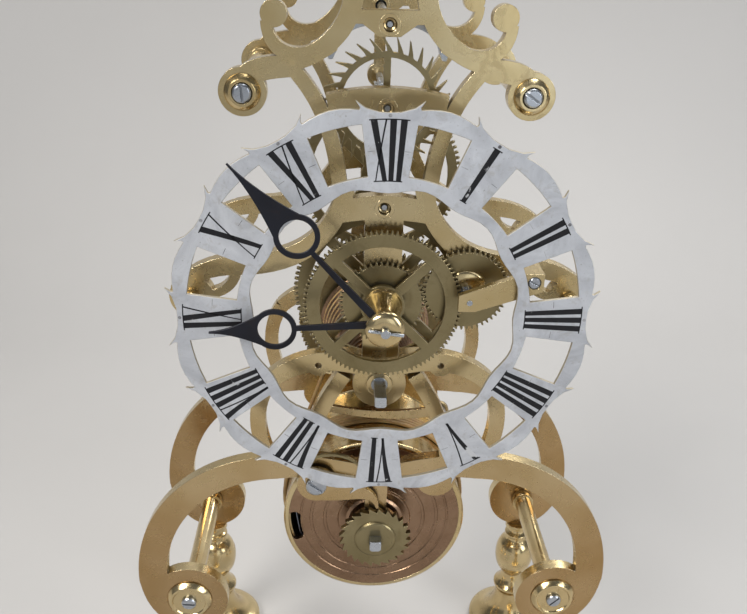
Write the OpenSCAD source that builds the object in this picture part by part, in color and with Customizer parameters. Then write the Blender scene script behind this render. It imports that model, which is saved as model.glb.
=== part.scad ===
// Skeleton clock: a scroll-frame fusee timepiece with a pierced chapter ring.
// Millimetres. X to the right, Y to the rear, Z up. The origin is on the table, below
// the centre of the dial and halfway from the centre arbor's tip to the back of the bob.

/* [Frame] */
// Height of the dial centre above the table
centre_height = 235; // [234:1:240]
// Thickness of each frame plate
plate_thick = 5; // [4:0.5:6]
// Clear distance between the two plates
plate_gap = 66; // [64:1:70]
// Radius of the four distance pillars
pillar_radius = 4.2; // [3.5:0.1:5]
// Width of the band that makes each leg
leg_width = 12.5; // [11:0.5:14]

/* [Dial and hands] */
// Mean radius of the scalloped outer edge of the dial
dial_radius = 74.75; // [73:0.25:76]
// Thickness of the dial
dial_thick = 1.5; // [1:0.1:2]
// Distance from the dial's front to the front plate
dial_standoff = 17; // [16:0.5:18]
// Length of the minute hand
minute_hand_length = 78; // [74:1:80]
// Length of the hour hand
hour_hand_length = 62; // [58:1:64]
// Direction of the minute hand, clockwise from twelve
minute_hand_angle = 318; // [0:6:354]
// Direction of the hour hand, clockwise from twelve
hour_hand_angle = 266.5; // [0:0.5:360]

/* [Going train] */
// Teeth of the great wheel
great_teeth = 96; // [90:6:96]
// Teeth of the centre wheel
centre_teeth = 96; // [90:6:96]
// Teeth of the third wheel
third_teeth = 90; // [84:6:96]
// Leaves of every train pinion
pinion_leaves = 8; // [8, 10]
// Teeth of the escape wheel
escape_teeth = 30; // [28:1:32]
// Height of the fusee arbor, from the dial centre
fusee_level = -36.6; // [-36.8:0.1:-36.4]
// Height of the third arbor, from the dial centre
third_level = 35.6; // [35.4:0.1:35.8]
// Height of the escape arbor, from the dial centre
escape_level = 71; // [70.8:0.1:71.2]
// Height of the pallet arbor, from the dial centre
pallet_level = 98.4; // [98.2:0.1:98.6]
// Height of the barrel arbor, from the dial centre
barrel_level = -111; // [-111.2:0.1:-110.8]
// Radius over the escape wheel's teeth
escape_tip = 22.6; // [21.8:0.1:22.7]

/* [Motion work] */
// Teeth of the hour wheel
hour_teeth = 96; // [90:6:96]
// Teeth of the cannon wheel and of the minute wheel
cannon_teeth = 48; // [42:6:48]
// Minute wheel centre, to the right of the dial centre
minute_wheel_x = 30.9; // [30.8:0.1:31]
// Minute wheel centre, above the dial centre
minute_wheel_level = 5.2; // [5:0.1:5.4]

/* [Barrel and fusee] */
// Outside radius of the mainspring barrel
barrel_radius = 39.5; // [38:0.5:40]
// Largest radius of the fusee's groove
fusee_large = 23; // [21:0.5:24]
// Smallest radius of the fusee's groove
fusee_small = 11; // [10:0.5:12]
// Turns of groove on the fusee
fusee_turns = 14; // [12:1:14]
// Radius of the gut line
line_radius = 0.85; // [0.6:0.05:0.85]

/* [Pendulum] */
// Distance from the suspension's bend to the middle of the bob
pendulum_length = 196; // [190:1:200]
// Radius of the bob
bob_radius = 24; // [20:0.5:26]

/* [Feet] */
// Radius of the foot's bell-shaped base
foot_base_radius = 21.5; // [18:0.5:22]
// Distance of the foot bosses from the middle
foot_x = 82; // [80:1:84]

/* [Hidden] */
$fn = 64;

brass = [0.80, 0.66, 0.36];
pale_brass = [0.86, 0.78, 0.52];
red_brass = [0.72, 0.50, 0.28];
silvered = [0.80, 0.81, 0.82];
steel = [0.62, 0.65, 0.70];
blued = [0.10, 0.11, 0.16];
gut = [0.62, 0.48, 0.28];

// Planes across the clock, front to back
hand_reach = 12.9;
bob_half = 6.6;
pendulum_gap = 12.5;
plates_middle = (dial_standoff + hand_reach - pendulum_gap - bob_half) / 2;
front_inner = plates_middle - plate_gap / 2;
front_face = front_inner - plate_thick;
rear_inner = plates_middle + plate_gap / 2;
rear_face = rear_inner + plate_thick;
dial_face = front_face - dial_standoff;
running_gap = 0.05;
shoulder_gap = 0.3;

// Mesh of each wheel with its pinion: pitch radii share the centre distance
function big_share(teeth, leaves, distance) = distance * teeth / (teeth + leaves);
function small_share(teeth, leaves, distance) = distance * leaves / (teeth + leaves);
great_distance = -fusee_level;
escape_distance = escape_level - third_level;
great_pitch = big_share(great_teeth, pinion_leaves, great_distance);
centre_pinion_pitch = small_share(great_teeth, pinion_leaves, great_distance);
centre_pitch = big_share(centre_teeth, pinion_leaves, third_level);
third_pinion_pitch = small_share(centre_teeth, pinion_leaves, third_level);
third_pitch = big_share(third_teeth, pinion_leaves, escape_distance);
escape_pinion_pitch = small_share(third_teeth, pinion_leaves, escape_distance);
minute_centre = [minute_wheel_x, minute_wheel_level];
motion_distance = norm(minute_centre);
motion_angle = atan2(minute_centre[1], minute_centre[0]);
cannon_pitch = motion_distance / 2;
hour_pitch = big_share(hour_teeth, pinion_leaves, motion_distance);
minute_pinion_pitch = small_share(hour_teeth, pinion_leaves, motion_distance);

// Layers of wheels
hour_plane = front_face - 6.5;
cannon_plane = front_face - 3;
centre_plane = front_inner + 4;
third_plane = plates_middle + 5;
escape_plane = front_inner + 4;
great_plane = plates_middle + 20;
fusee_shaft = 3.9;

// ---------- helpers ----------

function polar(r, a) = [r * cos(a), r * sin(a)];

// Points of a cubic curve with the given end points and handles
function cubic(a, b, c, d, n) = [
    for (i = [0:n]) let (t = i / n, u = 1 - t)
        u * u * u * a + 3 * u * u * t * b + 3 * u * t * t * c + t * t * t * d
];

function unit(v) = v / norm(v);

// Twice the area inside a loop of points, positive when it runs anticlockwise
function loop_area(p) = let (n = len(p))
    [for (i = [0:n - 1]) let (q = p[(i + 1) % n]) p[i][0] * q[1] - q[0] * p[i][1]]
        * [for (i = [0:n - 1]) 1];
function reversed(p) = [for (i = [len(p) - 1:-1:0]) p[i]];

// Side of the clock that a symmetrical shape is drawn on: 1 right, -1 left
$side = 1;
function sided(p) = [for (q = p) [$side * q[0], q[1]]];

// A closed outline on the current side, always drawn anticlockwise
module outline(p) {
    q = sided(p);
    polygon(loop_area(q) > 0 ? q : reversed(q));
}

function side_of(p, i) = let (
        a = p[max(i - 1, 0)],
        b = p[min(i + 1, len(p) - 1)],
        d = unit(b - a)
    ) [-d[1], d[0]];

// A band that follows a line of points and tapers from width w0 to width w1
module ribbon(p, w0, w1) {
    last = len(p) - 1;
    left = [for (i = [0:last]) p[i] + side_of(p, i) * (w0 + (w1 - w0) * i / last) / 2];
    right = [for (i = [last:-1:0]) p[i] - side_of(p, i) * (w0 + (w1 - w0) * i / last) / 2];
    outline(concat(left, right));
}

module both_sides() {
    for (s = [1, -1]) {
        $side = s;
        children();
    }
}

module disc_at(x, z, r) {
    translate([$side * x, z]) circle(r);
}

// Stands a flat outline upright, from y0 back to y0 + t, at the dial centre's level
module upright(y0, t) {
    translate([0, y0 + t, centre_height]) rotate([90, 0, 0]) linear_extrude(t) children();
}

// A solid turned about an axis that runs front to back
module turned(x, level, y0, profile) {
    translate([x, y0, centre_height + level]) rotate([-90, 0, 0]) rotate_extrude() polygon(profile);
}

module rod(x, level, y0, y1, r) {
    translate([x, y0, centre_height + level]) rotate([-90, 0, 0]) cylinder(h = y1 - y0, r = r);
}

// Outline of a toothed wheel: straight flanks to the pitch circle, then narrowing tips
module tooth_ring(n, pitch, add, ded, share, first) {
    half = share * 180 / n;
    polygon([
        for (i = [0:n - 1]) let (a = first + i * 360 / n) each [
            polar(pitch - ded, a - half),
            polar(pitch, a - half),
            polar(pitch + add, a - half * 0.4),
            polar(pitch + add, a + half * 0.4),
            polar(pitch, a + half),
            polar(pitch - ded, a + half)
        ]
    ]);
}

wheel_share = 0.42;
pinion_share = 0.34;
module wheel_teeth(n, pitch, first) {
    m = 2 * pitch / n;
    tooth_ring(n, pitch, 0.95 * m, 1.3 * m, wheel_share, first);
}

module pinion_teeth(pitch, first) {
    m = 2 * pitch / pinion_leaves;
    tooth_ring(pinion_leaves, pitch, 0.55 * m, 1.35 * m, pinion_share, first);
}

// Openings between the spokes of a wheel
module crossings(inner, outer, spokes, spoke_width, first) {
    half = 180 / spokes;
    a0 = asin(spoke_width / 2 / inner);
    a1 = asin(spoke_width / 2 / outer);
    steps = 10;
    for (k = [0:spokes - 1]) rotate(first + k * 360 / spokes) polygon(concat(
        [for (i = [0:steps]) polar(outer, a1 + (2 * half - 2 * a1) * i / steps)],
        [for (i = [steps:-1:0]) polar(inner, a0 + (2 * half - 2 * a0) * i / steps)]
    ));
}

// A cheese-head screw on the face at y0, pointing to the rear; its slot is turned
module slotted_screw(x, level, y0, head_r, head_h, shank_r, shank_l, slot_turn) {
    slot_width = head_r * 0.26;
    translate([x, y0, centre_height + level]) rotate([-90, 0, 0]) difference() {
        union() {
            translate([0, 0, -head_h]) rotate_extrude() polygon([
                [0, 0], [head_r * 0.8, 0], [head_r, head_h * 0.35], [head_r, head_h], [0, head_h]
            ]);
            translate([0, 0, -0.01]) cylinder(h = shank_l + 0.01, r = shank_r);
        }
        translate([0, 0, -head_h]) rotate(slot_turn)
            cube([2.2 * head_r, slot_width, head_h * 0.9], center = true);
    }
}

// ---------- frame plates ----------

boss_x = 49;
boss_level = 76;
foot_level = -148;
dial_foot_x = 71;
dial_foot_level = 0.5;
click_x = -25;
click_level = -83;
stop_x = 26.5;
stop_level = -58;
pillar_places = [
    [boss_x, boss_level], [-boss_x, boss_level],
    [foot_x, foot_level], [-foot_x, foot_level]
];
pillar_hole = 2;
arbor_levels = [fusee_level, 0, third_level, escape_level, pallet_level, barrel_level];

module upper_scroll() {
    // inner arm from the junction up to the head of the frame
    ribbon(cubic([33, 86], [22, 88], [13, 97], [12, 107], 14), 6, 6.5);
    ribbon(cubic([12, 106], [11.5, 116], [7, 124], [0, 127.5], 12), 6.5, 5);
    // outer arm of the J, ending in a bulb
    ribbon(cubic([19, 92.5], [27, 85.5], [40, 86.5], [40.6, 99], 16), 6, 3.6);
    disc_at(38, 101.2, 4.4);
    // branch to the pillar boss
    ribbon(cubic([30, 85], [37, 84], [45, 85], [boss_x, boss_level + 3], 10), 7, 8);
    disc_at(boss_x, boss_level, 8.2);
    // diagonal strut down to the middle
    ribbon(cubic([33, 85], [26, 77], [18, 68], [15.5, 38], 14), 4.8, 5.5);
}

module side_arm() {
    ribbon(cubic([13.5, 44], [17, 27], [28, 14.5], [50, 13.5], 14), 6, 8);
    ribbon(cubic([48, 13.5], [60, 13.5], [70, 11], [dial_foot_x + 5.6, 3], 10), 8, 5);
    disc_at(dial_foot_x, dial_foot_level, 8.3);
    ribbon(cubic([54, 11], [55, 5], [60, 1.5], [65, 1.5], 8), 4, 3);
}

module lower_scroll() {
    // wing from the hub down to the arch
    ribbon(cubic([8, -28], [20, -25], [34, -27], [43, -36], 12), 9, 6.5);
    ribbon(cubic([43, -36], [50, -46], [50, -60], [44, -74], 12), 6.5, 6);
    ribbon(cubic([14, -33], [20, -42], [27, -55], [29, -72], 10), 6, 6);
    disc_at(24, -28.5, 4.6);
    disc_at(stop_x, stop_level, 4.6);
    // arch and leg
    ribbon(cubic([0, -80.5], [14, -79], [22, -75], [42, -76.8], 12), 8, leg_width - 1.5);
    ribbon(cubic([41, -76.8], [77, -77.5], [98, -106], [97, -138], 26), leg_width - 1.5, leg_width);
    ribbon(cubic([97, -136], [96.5, -148], [93, -157], [85, -159.5], 12), leg_width, 9);
    disc_at(-click_x, click_level, 8.2);
    disc_at(foot_x, foot_level, 17);
    // flat seat for the foot
    outline([
        [foot_x - 6.4, foot_level - 17], [foot_x + 6.4, foot_level - 17],
        [foot_x + 6.4, foot_level - 8], [foot_x - 6.4, foot_level - 8]
    ]);
}

module plate_metal() {
    both_sides() {
        upper_scroll();
        side_arm();
        lower_scroll();
    }
    // head, cross bars, spine and the pendant that carries the barrel
    disc_at(0, 129, 5);
    outline([[-3.2, 131], [3.2, 131], [1.1, 137], [0, 139], [-1.1, 137]]);
    outline([[-12, 110], [12, 110], [10, 118], [-10, 118]]);
    outline([
        [-14, 103], [14, 103], [15, 98.5], [9, 98.5],
        [3.6, 94.6], [-3.6, 94.6], [-9, 98.5], [-15, 98.5]
    ]);
    outline(concat(
        [for (i = [0:12]) [-15 + 2.5 * i, 40.5 - 2 * pow((i - 6) / 6, 2)]],
        [for (i = [0:12]) [16 - 16 * i / 6, 31.5 - 1.5 * pow((i - 6) / 6, 2)]]
    ));
    outline([[-7, 34], [7, 34], [7, -36], [-7, -36]]);
    disc_at(0, 0, 11);
    disc_at(0, fusee_level, 10.5);
    outline([[-5, -76], [5, -76], [4.4, -104], [-4.4, -104]]);
    disc_at(0, barrel_level, 11);
}

// Curved bar across the front plate that carries the escape wheel's front pivot
module escape_bar() {
    outline(concat(
        [for (i = [0:12]) [-21 + 3.5 * i, 78.2 - 2.6 * pow((i - 6) / 6, 2)]],
        [[20, 69.5], [-20, 69.5]]
    ));
    disc_at(0, escape_level, 6);
}

// Slender upright of the rear plate that carries the rear pivot in the same way
module escape_spine() {
    outline([[-2.3, 38], [2.3, 38], [2.3, 99], [-2.3, 99]]);
    disc_at(0, escape_level, 5);
}

bush_radius = 3.6;
fusee_bush_radius = 5.4;
barrel_bush_radius = 5.6;
function bush_size(level) = level == fusee_level ? fusee_bush_radius
    : level == barrel_level ? barrel_bush_radius : bush_radius;

// Holes that both plates share
module plate_holes() {
    for (p = pillar_places) disc_at(p[0], p[1], pillar_hole);
    for (level = arbor_levels) disc_at(0, level, bush_size(level));
}

// Tapped hole for a foot's stud, up into the edge of the boss
module stud_holes(y_mid) {
    for (s = [-1, 1]) translate([s * foot_x, y_mid, centre_height + foot_level - 18])
        cylinder(h = 10, r = foot_stud);
}

cock_screw = [53.6, 13.2];
back_screw_x = 7.5;
back_screw_level = 114;

module front_plate() {
    color(brass) difference() {
        upright(front_face, plate_thick) difference() {
            union() {
                plate_metal();
                escape_bar();
            }
            plate_holes();
            for (s = [-1, 1]) {
                disc_at(s * dial_foot_x, dial_foot_level, 2);
                disc_at(s * 24, -28.5, 1.3);
                disc_at(s * 10, -28.5, 0.8);
            }
            disc_at(cock_screw[0], cock_screw[1], 1.2);
            disc_at(click_x, click_level, 1.8);
            disc_at(click_x - 3, click_level + 12, 1);
            disc_at(stop_x, stop_level, 1.5);
        }
        stud_holes(front_face + plate_thick / 2);
    }
}

module rear_plate() {
    color(brass) difference() {
        upright(rear_inner, plate_thick) difference() {
            union() {
                plate_metal();
                escape_spine();
            }
            plate_holes();
            for (s = [-1, 1]) disc_at(s * back_screw_x, back_screw_level, 1.3);
        }
        stud_holes(rear_inner + plate_thick / 2);
    }
}

// ---------- pillars, feet and frame screws ----------

module pillars() {
    for (p = pillar_places) color(brass) difference() {
        union() {
            rod(p[0], p[1], front_inner, rear_inner, pillar_radius);
            for (y = [front_inner, rear_inner - 4]) rod(p[0], p[1], y, y + 4, pillar_radius + 1.2);
        }
        rod(p[0], p[1], front_inner - 1, front_inner + 10, pillar_hole - 0.2);
        rod(p[0], p[1], rear_inner - 10, rear_inner + 1, pillar_hole - 0.2);
    }
}

function collet_radius(p) = p[1] > 0 ? 6.2 : 10;
collet_high = 2.4;

// A dished washer under each pillar screw
module frame_collet(p) {
    r = collet_radius(p);
    bore = pillar_hole;
    rotate_extrude() polygon([
        [bore, 0], [r, 0], [r, 0.6], [r - 0.9, 1.5], [r - 1.6, collet_high],
        [r - 2.6, collet_high], [r - 3, 1.7], [bore, 1.7]
    ]);
}

module pillar_collets() {
    for (p = pillar_places) color(pale_brass) {
        translate([p[0], front_face, centre_height + p[1]]) rotate([90, 0, 0]) frame_collet(p);
        translate([p[0], rear_face, centre_height + p[1]]) rotate([-90, 0, 0]) frame_collet(p);
    }
}

screw_head = 3.2;
module pillar_screws() {
    for (i = [0:3]) let (p = pillar_places[i]) color(steel) {
        slotted_screw(p[0], p[1], front_face - 1.7, screw_head, 1.8, pillar_hole - 0.3, 14,
            35 + 50 * i);
        mirror([0, 1, 0])
            slotted_screw(p[0], p[1], -rear_face - 1.7, screw_head, 1.8, pillar_hole - 0.3, 14, 80 * i);
    }
}

foot_stud = 1.6;
foot_height = centre_height + foot_level - 17;
// Turned outline of a foot, from the table up: bell base, waist, bulb, neck
function foot_profile() = let (b = foot_base_radius) concat(
    [[0, 0], [b - 0.8, 0], [b, 0.8], [b, 3.4], [b - 0.9, 4.4]],
    [for (i = [0:8]) let (t = i / 8) [b - 2.2 - (b - 10.2) * sin(90 * t), 5.2 + 15 * t * t + 4 * t]],
    [[8.6, 25.4], [9.4, 26.4], [9.4, 27.8], [8.4, 28.8]],
    [for (i = [0:6]) let (t = i / 6) [5.6 + 2.2 * pow(1 - t, 2), 29.4 + 6.6 * t]],
    [for (i = [0:12]) let (a = -70 + 145 * i / 12) [4.6 + 5.6 * cos(a), 48.4 + 11.2 * sin(a)]],
    [[5.4, 61.2], [6.2, 62], [6.2, 63.2], [4.4, 64.4], [4.2, 66.2], [6.4, 67.4], [6.4, foot_height]],
    [[foot_stud - 0.05, foot_height], [foot_stud - 0.05, foot_height + 6], [0, foot_height + 6]]
);

module turned_foot() {
    rotate_extrude() polygon(foot_profile());
}

module turned_feet() {
    for (x = [-foot_x, foot_x], y = [front_face + plate_thick / 2, rear_inner + plate_thick / 2])
        color(pale_brass) translate([x, y, 0]) turned_foot();
}

// ---------- bushes ----------

centre_front_pivot = 1.6;
small_pivot = 1.0;
fusee_front_pivot = 3.2;
fusee_rear_pivot = 2.4;
barrel_pivot = 3.4;

module bush(level, y0, y1, outer, bore, proud) {
    turned(0, level, y0 - proud, [
        [bore, 0], [outer - 0.5, 0], [outer - 0.2, proud], [outer - 0.01, proud],
        [outer - 0.01, y1 - y0 + proud], [bore, y1 - y0 + proud]
    ]);
}

// A bush flush with the plate's front, dished to hold oil round the recessed pivot
oil_sink = 2.35;
sink_depth = 1.7;
pivot_recess = 1.5;
module sunk_bush(level) {
    bore = small_pivot + running_gap;
    turned(0, level, front_face, [
        [oil_sink, 0], [bush_radius - 0.01, 0], [bush_radius - 0.01, plate_thick],
        [bore, plate_thick], [bore, sink_depth + 0.4], [oil_sink - 0.35, sink_depth]
    ]);
}

module front_bushes() {
    color(pale_brass) {
        bush(0, front_face, front_inner, bush_radius, centre_front_pivot + running_gap, 0.8);
        bush(fusee_level, front_face, front_inner,
            fusee_bush_radius, fusee_front_pivot + running_gap, 0.6);
        bush(barrel_level, front_face, front_inner,
            barrel_bush_radius, barrel_pivot + running_gap, 0.6);
        for (level = [third_level, escape_level, pallet_level])
            sunk_bush(level);
    }
}

module rear_bushes() {
    color(pale_brass) mirror([0, 1, 0]) {
        bush(0, -rear_face, -rear_inner, bush_radius, small_pivot + 0.2 + running_gap, 0.4);
        bush(fusee_level, -rear_face, -rear_inner,
            fusee_bush_radius, fusee_rear_pivot + running_gap, 0.6);
        bush(barrel_level, -rear_face, -rear_inner,
            barrel_bush_radius, barrel_pivot + running_gap, 0.6);
        for (level = [third_level, escape_level])
            bush(level, -rear_face, -rear_inner, bush_radius, small_pivot + running_gap, 0.4);
        // the pallet arbor passes clear through its ring to the back cock
        bush(pallet_level, -rear_face, -rear_inner, bush_radius, 2.3, 0.4);
    }
}

// ---------- dial ----------

dial_scallop = 1.4;
dial_inner = 47.6;
window_inner = 52.5;
window_outer = 70;
thorn_tip = 78;

module dial_outline() {
    outline([
        for (i = [0:143]) let (a = 90 - 2.5 * i)
            polar(dial_radius - dial_scallop * cos(12 * (a - 90)), a)
    ]);
    // a pair of thorns at each hour: the rim sweeps out to a tip that leans from the hour
    for (k = [0:11], s = [-1, 1]) rotate(30 * k + s * 7.1) outline([
        polar(dial_radius - 2, -5 * s),
        polar(dial_radius - 1, -4 * s),
        polar(dial_radius - 0.3, -2.4 * s),
        polar(dial_radius + 0.5, -0.9 * s),
        polar(thorn_tip, 1.3 * s),
        polar(dial_radius + 0.8, 0.4 * s),
        polar(dial_radius - 2, 1.2 * s)
    ]);
}

module dial_window() {
    steps = 6;
    polygon(concat(
        [for (i = [0:steps]) polar(window_outer, 7.5 + 15 * i / steps)],
        [for (i = [steps:-1:0]) polar(window_inner, 7.5 + 15 * i / steps)]
    ));
}

module dial_ring() {
    color(silvered) upright(dial_face, dial_thick) difference() {
        dial_outline();
        polygon([for (i = [0:95]) let (a = 3.75 * i) polar(dial_inner - 1.1 * cos(12 * a), a)]);
        for (k = [0:11]) rotate(30 * k) dial_window();
    }
}

module dial_feet() {
    for (s = [-1, 1]) color(brass) turned(s * dial_foot_x, dial_foot_level, dial_face + dial_thick, [
        [0, 0], [2.2, 0], [2.2, 1], [1.7, 2.2], [1.7, 11], [3, 12.5], [3, dial_standoff - dial_thick],
        [1.95, dial_standoff - dial_thick], [1.95, dial_standoff + plate_thick + 1.5],
        [0, dial_standoff + plate_thick + 1.5]
    ]);
}

// Taper pins that hold the dial feet behind the front plate
module dial_pins() {
    for (s = [-1, 1]) color(steel)
        translate([s * dial_foot_x, front_inner + 0.75, centre_height + dial_foot_level - 6])
            cylinder(h = 12, r = 0.55);
}

// ---------- motion work, in front of the front plate ----------

hand_hub = 4.6;
minute_hand_plane = dial_face - 7.9;
hour_hand_plane = dial_face - 4.6;
hand_thick = 1;
cannon_bore = centre_front_pivot + running_gap;
cannon_outer = 2.7;
pipe_bore = cannon_outer + running_gap;

// Pierced hand pointing to twelve: stem, ring, then a long tapering spade
module hand_outline(reach, tip, bore, stem_root, stem_end) {
    ring_outer = 7.8;
    ring_inner = 6;
    ring_at = reach - tip - ring_outer;
    stem_top = ring_at - 6.5;
    spade_root = ring_at + 5.2;
    spade = [for (i = [0:10]) let (t = i / 10)
        [0.25 + 5.6 * pow(1 - t, 1.7), spade_root + t * (reach - spade_root)]];
    difference() {
        union() {
            circle(hand_hub);
            outline([
                [-stem_root, 0], [stem_root, 0], [stem_end, stem_top], [-stem_end, stem_top]
            ]);
            disc_at(0, ring_at, ring_outer);
            outline(concat(spade, [for (q = reversed(spade)) [-q[0], q[1]]]));
        }
        disc_at(0, ring_at, ring_inner);
        circle(bore);
    }
}

module hour_hand() {
    color(blued) upright(hour_hand_plane, hand_thick) rotate(-hour_hand_angle)
        hand_outline(hour_hand_length, 15.4, 3.9, 1.5, 0.9);
}

module minute_hand() {
    color(blued) upright(minute_hand_plane, hand_thick) rotate(-minute_hand_angle)
        hand_outline(minute_hand_length, 25, 2, 1.5, 0.8);
}

module hand_collet() {
    color(pale_brass) turned(0, 0, minute_hand_plane - 3, concat(
        [[centre_front_pivot + 0.05, 0], [2.6, 0]],
        [for (i = [0:8]) [6.9 * sin(24 + 66 * i / 8), 2.4 - 2.4 * cos(90 * i / 8)]],
        [[6.9, 2.99], [centre_front_pivot + 0.05, 2.99]]
    ));
}

module hand_pin() {
    color(steel) translate([0, minute_hand_plane - 3.7, centre_height]) rotate([0, 98, 0])
        translate([0, 0, -6]) cylinder(h = 12.5, r = 0.6);
}

module hour_wheel() {
    color(brass) upright(hour_plane, 1.8) difference() {
        wheel_teeth(hour_teeth, hour_pitch, motion_angle);
        crossings(8.2, 23.3, 4, 3.6, 45);
        circle(5.6);
    }
}

// Flared pipe that carries the hour hand
module hour_pipe() {
    front = hour_hand_plane - 0.6;
    back = hour_plane + 2.3;
    color(pale_brass) turned(0, 0, front, [
        [pipe_bore, 0], [3.85, 0], [3.85, hand_thick + 0.6], [4.6, hand_thick + 0.6],
        [4.6, hand_thick + 2], [5.0, 5], [6.6, back - front - 3.6], [7.4, back - front - 2.35],
        [5.55, back - front - 2.35], [5.55, back - front], [pipe_bore, back - front]
    ]);
}

module cannon_wheel() {
    color(brass) upright(cannon_plane, 1.8) difference() {
        wheel_teeth(cannon_teeth, cannon_pitch, motion_angle);
        circle(3.4);
    }
}

module cannon_pipe() {
    front = minute_hand_plane;
    back = front_face - 1;
    color(pale_brass) turned(0, 0, front, [
        [cannon_bore, 0], [1.95, 0], [1.95, hand_thick], [cannon_outer, hand_thick],
        [cannon_outer, cannon_plane - front - 0.6], [4.6, cannon_plane - front - 0.6],
        [4.6, cannon_plane - front - 0.02], [3.35, cannon_plane - front],
        [3.35, back - front], [cannon_bore, back - front]
    ]);
}

cock_front = front_face - 14.4;
module minute_wheel() {
    color(brass) translate([minute_centre[0], 0, minute_centre[1]]) upright(cannon_plane, 1.8)
        difference() {
            wheel_teeth(cannon_teeth, cannon_pitch, motion_angle + 180 + 180 / cannon_teeth);
            circle(2.2);
        }
}

// Pinion that drives the hour wheel, on a steel arbor between the plate and the cock
module minute_arbor() {
    x = minute_centre[0];
    level = minute_centre[1];
    color(steel) {
        rod(x, level, cock_front - 0.2, cock_front + 2.9, small_pivot);
        rod(x, level, cock_front + 2.8, hour_plane - 1.3, 1.5);
        translate([x, 0, level]) upright(hour_plane - 1.3, 3.25)
            pinion_teeth(minute_pinion_pitch, motion_angle + 180 + 180 / pinion_leaves);
        rod(x, level, hour_plane + 1.9, front_face - 0.3, 2.18);
    }
}

// Domed collet on the face of the minute wheel, behind the hour wheel's rim
collet_rise = 1.45;
module minute_hub() {
    r = 8.1;
    color(pale_brass) turned(minute_centre[0], minute_centre[1], cannon_plane - collet_rise, concat(
        [[2.2, 0], [3.4, 0]],
        [for (i = [1:9]) [3.4 + (r - 3.4) * sin(10 * i), collet_rise * (1 - cos(10 * i))]],
        [[2.2, collet_rise]]
    ));
}

// Bridge that holds the minute wheel's front pivot, with its screw sunk flush
bar_thick = 2.6;
cock_sink = 1.1;
module cock_foot() {
    translate([cock_screw[0] - 3.5, cock_screw[1] - 3.4]) square([7, 6.8]);
}

module minute_cock() {
    color(pale_brass) difference() {
        union() {
            upright(cock_front, bar_thick) hull() {
                translate([minute_wheel_x - 4, minute_wheel_level - 3.5]) square([6, 6.4]);
                cock_foot();
            }
            upright(cock_front + bar_thick - 0.01, front_face - cock_front - bar_thick + 0.01)
                cock_foot();
        }
        rod(minute_centre[0], minute_centre[1], cock_front - 1, front_face,
            small_pivot + running_gap);
        rod(cock_screw[0], cock_screw[1], cock_front - 1, front_face + 1, 1.3);
        rod(cock_screw[0], cock_screw[1], cock_front - 1, cock_front + cock_sink, 2.4);
    }
}

module cock_screws() {
    color(steel) slotted_screw(cock_screw[0], cock_screw[1], cock_front + cock_sink,
        2.3, 1.3, 1.15, 16, 30);
}

// ---------- going train, between the plates ----------

module centre_arbor() {
    color(steel) {
        rod(0, 0, dial_face - hand_reach, front_inner + 0.4, centre_front_pivot);
        rod(0, 0, front_inner + 0.3, rear_inner - 0.3, 1.7);
        rod(0, 0, rear_inner - 0.35, rear_face + 0.6, small_pivot + 0.2);
        upright(great_plane - 3, 9) pinion_teeth(centre_pinion_pitch, -90 + 180 / pinion_leaves);
        rod(0, 0, centre_plane - 1.2, centre_plane + 3.2, 3.4);
    }
}

train_wheel_thick = 1.9;
module centre_wheel() {
    color(brass) upright(centre_plane, train_wheel_thick) difference() {
        wheel_teeth(centre_teeth, centre_pitch, 90);
        crossings(8, 27.5, 4, 4, 45);
        circle(3.42);
    }
}

module third_arbor() {
    color(steel) {
        rod(0, third_level, front_face + pivot_recess, rear_face + 0.4, small_pivot);
        rod(0, third_level, front_inner + shoulder_gap, rear_inner - shoulder_gap, 1.4);
        translate([0, 0, third_level]) upright(centre_plane - 2.5, 8)
            pinion_teeth(third_pinion_pitch, -90 + 180 / pinion_leaves);
        rod(0, third_level, third_plane - 1.2, third_plane + 3, 3.2);
    }
}

module third_wheel() {
    color(brass) translate([0, 0, third_level]) upright(third_plane, train_wheel_thick) difference() {
        wheel_teeth(third_teeth, third_pitch, 90);
        crossings(7.5, 27.8, 4, 3.6, 45);
        circle(3.22);
    }
}

module escape_arbor() {
    color(steel) {
        rod(0, escape_level, front_face + pivot_recess, rear_face + 0.4, small_pivot);
        rod(0, escape_level, front_inner + shoulder_gap, rear_inner - shoulder_gap, 1.4);
        translate([0, 0, escape_level]) upright(third_plane - 3, 8)
            pinion_teeth(escape_pinion_pitch, -90 + 180 / pinion_leaves);
        rod(0, escape_level, escape_plane - 1.2, escape_plane + 3, 3);
    }
}

// Thirty pointed teeth that lean to the left at the top
module escape_wheel() {
    root = escape_tip - 4.8;
    pitch = 360 / escape_teeth;
    color(brass) translate([0, 0, escape_level]) upright(escape_plane, 1.6) difference() {
        polygon([
            for (i = [0:escape_teeth - 1]) let (a = i * pitch) each [
                polar(root, a),
                polar(root + 1.2, a + 0.22 * pitch),
                polar(escape_tip, a + 0.80 * pitch),
                polar(escape_tip, a + 0.87 * pitch),
                polar(root + 1.4, a + 0.62 * pitch),
                polar(root, a + 0.54 * pitch)
            ]
        ]);
        crossings(6, 15.9, 4, 2.4, 0);
        circle(3.02);
    }
}

module great_wheel() {
    color(brass) {
        translate([0, 0, fusee_level]) upright(great_plane, 3) difference() {
            wheel_teeth(great_teeth, great_pitch, 90);
            circle(fusee_shaft + running_gap);
        }
        // riveted stud for the click
        rod(click_pivot * cos(click_turn), fusee_level + click_pivot * sin(click_turn),
            ratchet_plane + 0.05, great_plane + 0.1, 1.25);
    }
}

// ---------- fusee ----------

fusee_front = plates_middle - 21;
fusee_pitch = 37 / fusee_turns;
function fusee_radius(i) = fusee_small
    + (fusee_large - fusee_small) * pow((i + 0.5) / fusee_turns, 1.25);
function groove_y(i) = (i + 0.5) * fusee_pitch;

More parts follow.
